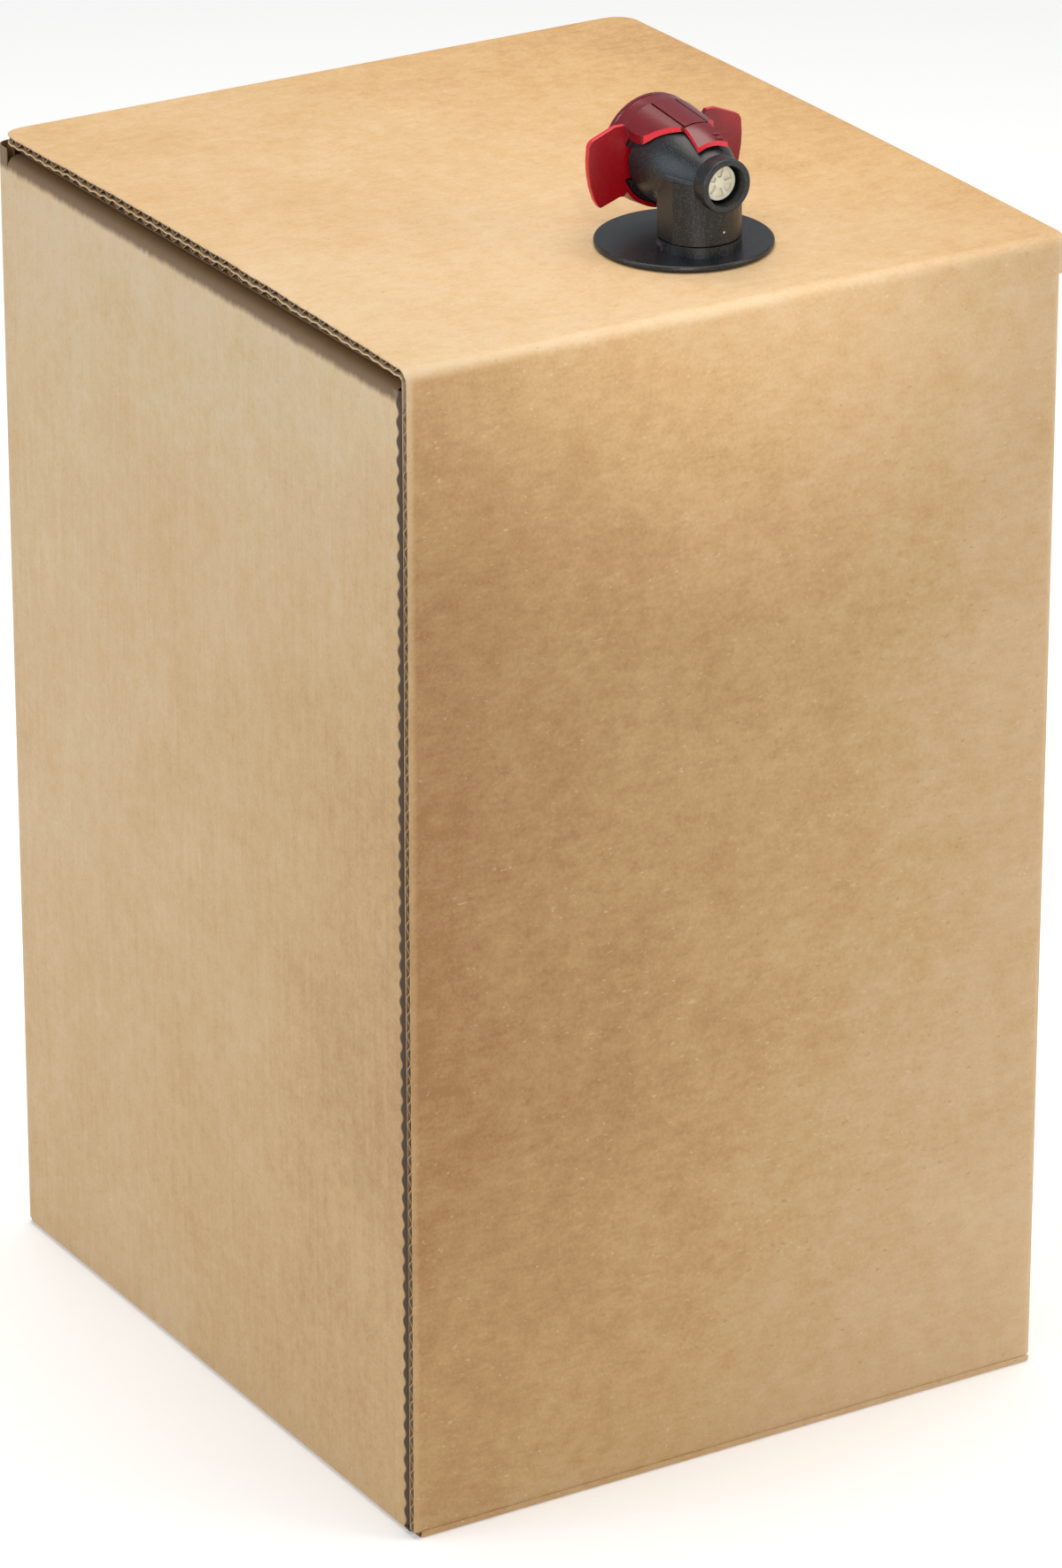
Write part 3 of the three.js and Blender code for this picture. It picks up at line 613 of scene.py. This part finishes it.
def bent_sheet(stations, spans, offset, place, columns):
    """A grid: its rows follow the stations, inwards by offset(run), and its columns cross each span."""
    rows = len(stations)
    sheet = bmesh.new()
    bmesh.ops.create_grid(sheet, x_segments=columns, y_segments=rows - 1, size=1)
    runs = [0.0]
    for (a, _), (b, _) in zip(stations, stations[1:]):
        runs.append(runs[-1] + (b - a).length)
    for vert in sheet.verts:
        row = round((vert.co.y + 1) / 2 * (rows - 1))
        point, direction = stations[row]
        depth = min(offset(runs[row]), SAFE_BEND * bend_radius(stations, row))
        low, high = spans(point)
        width = low + (high - low) * (vert.co.x + 1) / 2
        vert.co = place(width, point - direction * depth)
    return sheet


def thicken(sheet, thickness):
    bmesh.ops.recalc_face_normals(sheet, faces=sheet.faces)
    bmesh.ops.solidify(sheet, geom=sheet.faces[:], thickness=thickness)
    return sheet


def absorb(whole, part):
    """Adds one bmesh to another."""
    mesh = bpy.data.meshes.new("part")
    part.to_mesh(mesh)
    part.free()
    whole.from_mesh(mesh)
    bpy.data.meshes.remove(mesh)


def flute(run):
    """How far the wave of paper stands from the board's middle."""
    return FLUTE_REACH * math.sin(2 * math.pi * run / FLUTE_PITCH)


def board_sheet(stations, spans, place, columns, fluted, recess=0.0):
    """Two liners and, where its edges show, the fluted paper between them, as two bmeshes."""
    liners, core = bmesh.new(), bmesh.new()
    for depth in (LINER / 2, BOARD - LINER / 2):
        absorb(liners, thicken(bent_sheet(stations, spans, lambda run: depth, place, columns), LINER))

    def core_spans(point):
        low, high = spans(point)
        return low + recess, high - recess

    if fluted:
        path = resampled(stations, FLUTE_PITCH / FLUTE_STEPS)
        wave = bent_sheet(path, core_spans, lambda run: BOARD / 2 + flute(run), place, columns)
        absorb(core, thicken(wave, MEDIUM))
    return liners, core


def flap_stations(top, length, start, crease, peak, step=9 * MM):
    """A flap's path: up the wall, over the crease, down to where the crease is crushed, and inwards."""
    turn = peak - crease
    landing = crease + 2.5 * (peak - top)
    end = length - LID_CORNER
    return without_repeats([
        *line_stations((0, start), (0, turn), (-1, 0), 4 * MM),
        *arc_stations(Vector((crease, turn)), crease, 180, 90),
        *line_stations((crease, peak), (landing, top), (0, 1), 1 * MM),
        *line_stations((landing, top), (end, top), (0, 1), step),
        *line_stations((end, top), (length, top), (0, 1), 0.5 * MM),
    ])


def flap_parts(side, top, length, half_span, fluted=True, lid=False):
    """A top flap with its crease, on the wall that side names in quarter turns from the front."""
    reach = HALF_WIDTH if side % 2 else HALF_DEPTH
    stations = flap_stations(top, length, WALL_TOP, CREASE_RADIUS, top, 1.5 * MM if lid else 9 * MM)

    def spans(point):
        over = point.x - (length - LID_CORNER)
        inset = LID_CORNER - math.sqrt(max(0.0, LID_CORNER ** 2 - over ** 2)) if lid and over > 0 else 0
        return -half_span + inset, half_span - inset

    def place(width, point):
        spot = Matrix.Rotation(side * math.pi / 2, 3, "Z") @ Vector((width, point.x - reach, point.y))
        if lid:
            spot += lid_bow(spot) + lid_edge_wave(spot)
        return spot + swell(spot)

    columns, recess = (LID_COLUMNS, FLUTING_RECESS) if lid else (FLAP_COLUMNS, 0)
    return board_sheet(stations, spans, place, columns, fluted, recess)


def bottom_flap_parts(side, level, length, half_span, lift):
    """A bottom flap: the load has pressed its crease onto the floor. Only the outer one shows its fluting."""
    reach = HALF_WIDTH if side % 2 else HALF_DEPTH
    stations = flap_stations(HEIGHT - level, length, HEIGHT - WALL_BASE, BOTTOM_CREASE, HEIGHT - lift)

    def spans(point):
        return -half_span, half_span

    def place(width, point):
        spot = Matrix.Rotation(side * math.pi / 2, 3, "Z") @ Vector((width, point.x - reach, HEIGHT - point.y))
        return spot + swell(spot)

    return board_sheet(stations, spans, place, FLAP_COLUMNS, side == 0)


def wall_stations():
    """The walls seen from above, from the glue tab round to the front panel's cut left edge."""
    x, y, r = HALF_WIDTH, HALF_DEPTH, CREASE_RADIUS
    tab, slot = -y + BOARD, y - SLOT
    left, right, front, back = (-1, 0), (1, 0), (0, -1), (0, 1)
    dented = y - 20 * MM
    return without_repeats([
        *line_stations((-x + GLUE_TAB, tab), (-x + r, tab), front, COARSE_STEP),
        *arc_stations(Vector((-x + r, tab + r)), r, 270, 180),
        *line_stations((-x, tab + r), (-x, -slot), left, EDGE_STEP),
        *line_stations((-x, -slot + SLIT), (-x, dented), left, COARSE_STEP),
        *line_stations((-x, dented), (-x, slot - SLIT), left, FINE_STEP),
        *line_stations((-x, slot), (-x, y - r), left, FINE_STEP),
        *arc_stations(Vector((-x + r, y - r)), r, 180, 90),
        *line_stations((-x + r, y), (-x + SLOT, y), back, EDGE_STEP),
        *line_stations((-x + SLOT + SLIT, y), (x - SLOT - SLIT, y), back, COARSE_STEP),
        *line_stations((x - SLOT, y), (x - r, y), back, EDGE_STEP),
        *arc_stations(Vector((x - r, y - r)), r, 90, 0),
        *line_stations((x, y - r), (x, slot), right, EDGE_STEP),
        *line_stations((x, slot - SLIT), (x, -slot + SLIT), right, COARSE_STEP),
        *line_stations((x, -slot), (x, -y + r), right, EDGE_STEP),
        *arc_stations(Vector((x - r, -y + r)), r, 0, -90),
        *line_stations((x - r, -y), (-x, -y), front, COARSE_STEP),
    ])


def wall_reach(point):
    """The wall's lowest and highest level: its corners stand up in the slots between the flaps."""
    near = 0.1 * MM
    on_front = point.y < -HALF_DEPTH + near
    width = SLOT if point.y > HALF_DEPTH - near else CREASE_RADIUS
    in_slot = abs(point.y) > HALF_DEPTH - SLOT - near and abs(point.x) > HALF_WIDTH - width - near
    if in_slot and not on_front:
        return WALL_BASE, LID_BASE - (BACK_CORNER_DROP if point.y > 0 else FRONT_CORNER_DROP)
    return WALL_BASE, WALL_TOP


def wall_parts():
    def place(width, point):
        spot = Vector((point.x, point.y, width))
        return spot + swell(spot)

    liners, core = board_sheet(wall_stations(), wall_reach, place, WALL_COLUMNS, False)
    absorb(core, front_edge_fluting())
    return liners, core


def front_edge_fluting():
    """The fluting at the front panel's cut edge: there the flutes run across it and show their wave."""
    steps = 640
    levels = [WALL_BASE + (WALL_TOP - WALL_BASE) * i / steps for i in range(steps + 1)]
    stations = [(Vector((level, 0)), Vector((0, -1))) for level in levels]

    def spans(point):
        return -HALF_WIDTH, -HALF_WIDTH + 20 * MM

    def place(width, point):
        spot = Vector((width, -HALF_DEPTH - point.y, point.x))
        return spot + swell(spot)

    wave = bent_sheet(stations, spans, lambda run: -(BOARD / 2 + flute(run)), place, 2)
    return thicken(wave, MEDIUM)


def carton_parts():
    """Liners and core of the walls, of the four top flaps and of the four bottom flaps."""
    lid_length = 2 * HALF_DEPTH - LID_END_GAP
    inner_edge = HALF_WIDTH - INNER_FLAP_INSET
    yield wall_parts()
    yield flap_parts(0, HEIGHT, lid_length, HALF_WIDTH, lid=True)
    yield flap_parts(2, HEIGHT - FLAP_LEVEL, 2 * HALF_DEPTH - BOARD - SLOT, inner_edge)
    yield bottom_flap_parts(0, 0, lid_length, HALF_WIDTH - OUTER_BOTTOM_INSET, 0)
    yield bottom_flap_parts(2, FLAP_LEVEL, lid_length - SLOT, inner_edge, BOTTOM_LIFT)
    for side in (1, 3):
        yield flap_parts(side, HEIGHT - 2 * FLAP_LEVEL, SIDE_FLAP, HALF_DEPTH - SLOT, fluted=False)
        yield bottom_flap_parts(side, 2 * FLAP_LEVEL, SIDE_FLAP, HALF_DEPTH - BOTTOM_SIDE_INSET, BOTTOM_LIFT)


def fold_carton():
    liners, core = bmesh.new(), bmesh.new()
    for liner_part, core_part in carton_parts():
        absorb(liners, liner_part)
        absorb(core, core_part)
    add_object("carton_board", liners, kraft_liner(), "carton", "carton")
    add_object("carton_fluting", core, board_core(), "carton", "carton")


# Tap: smooth copies of the frame's nodes, and two small details

def smooth_copy(node, name, material, body, edge, mark=None):
    """A node again with its doubles merged and soft edges; mark gives each face its value of painted edge highlight
    and groove shade.
    """
    tool = bmesh.new()
    tool.from_mesh(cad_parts[node].data)
    bmesh.ops.remove_doubles(tool, verts=tool.verts, dist=1e-6)
    bmesh.ops.dissolve_limit(tool, angle_limit=math.radians(0.5), verts=tool.verts, edges=tool.edges)
    shared = [e for e in tool.edges if len(e.link_faces) == 2]
    round_edges(tool, [e for e in shared if e.calc_face_angle_signed() > math.radians(28)], edge, 2)
    if mark:
        rim = tool.faces.layers.float.new("rim")
        for face in tool.faces:
            face[rim] = mark(face.calc_center_median(), face.normal)
    piece = add_object(name, tool, material, body, node, sharp=50)
    piece.modifiers.new("normals", "WEIGHTED_NORMAL").keep_sharp = True
    return piece


def grip_painted_edges(centre, normal):
    """Painted highlight and shade: above 0 on the thin edges of the grip's wings and shield, and -1 in its tear
    grooves.
    """
    across, up = centre.x - TAP_X, centre.z - AXIS_Z
    on_strip = abs(abs(across) - STRIP_HALF_WIDTH) < 0.5 * MM and centre.y > TEAR_Y - 0.6 * MM
    if up > 5 * MM and (on_strip or abs(centre.y - TEAR_Y) < 0.4 * MM):
        return -1.0
    if abs(across) > WING_ROOT:
        return 0.75 if abs(normal.y) < 0.6 else 0.0
    outward = Vector((across, 0, up)).normalized()
    in_front = centre.y < GRIP_PLANE - 1 * MM
    return 1.0 if in_front and abs(normal.dot(outward)) < 0.7 else 0.0


def gate_mark(material):
    """The small round mark that moulding left low on the neck's front."""
    radius = 0.35 * MM
    place = Vector((TAP_X + 0.2 * MM, TAP_Y - 13.6 * MM, AXIS_Z - 15 * MM))
    turn = Vector((0.4, -0.9, 0)).to_track_quat("Z", "Y").to_matrix().to_4x4()
    flat = Matrix.Diagonal((1, 1, 0.5, 1))
    tool = bmesh.new()
    bmesh.ops.create_uvsphere(tool, u_segments=16, v_segments=8, radius=radius, matrix=flat)
    bmesh.ops.transform(tool, matrix=Matrix.Translation(place) @ turn, verts=tool.verts)
    add_object("gate_mark", tool, material, "tap", None)


def tab_hooks(material):
    """Two curled ribs at the right of the pull tab's front, for the fingertip."""
    tool = bmesh.new()
    tilt = Matrix.Rotation(math.atan(SHIELD_SLOPE), 3, "X")
    size = Vector((2.4, 0.8, 1.5)) * MM
    for forward, across in ((4.4 * MM, 2.7 * MM), (6.2 * MM, 2.9 * MM)):
        radius = SHIELD_RADIUS - SHIELD_SLOPE * (forward + TEAR_LINE)
        up = math.sqrt(radius ** 2 - across ** 2)
        place = Vector((TAP_X + across, TAP_Y - forward, AXIS_Z + up))
        bmesh.ops.create_cube(tool, size=1, matrix=Matrix.LocRotScale(place, tilt, size))
    round_edges(tool, tool.edges[:], 0.32 * MM, 3)
    add_object("tab_hooks", tool, material, "tap", None, sharp=60)


def build_tap():
    black = black_moulding()
    red = red_moulding()
    cream = moulded("cream_moulding", CREAM_TONES, 0.45)
    rubber = moulded("black_elastomer", RUBBER_TONES, 0.6)
    film = moulded("bag_film", FILM_TONES, 0.3)
    smooth_copy("spout_gland", "gland", black, "carton", 0.25 * MM)
    smooth_copy("tap_body", "body", black, "tap", 0.25 * MM)
    smooth_copy("wing_grip", "grip", red, "tap", 0.15 * MM, grip_painted_edges)
    button = smooth_copy("press_button", "button", rubber, None, 0.2 * MM)
    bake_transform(button)
    gate_mark(cream)
    tab_hooks(red)
    smooth_copy("valve_plunger", "plunger", cream, "valve", 0.12 * MM)
    smooth_copy("valve_seal", "seal", rubber, "valve", 0.12 * MM)
    smooth_copy("inner_bag", "bag", film, "carton", 1 * MM)


place_camera()
light_studio()
lay_floor()
fold_carton()
build_tap()
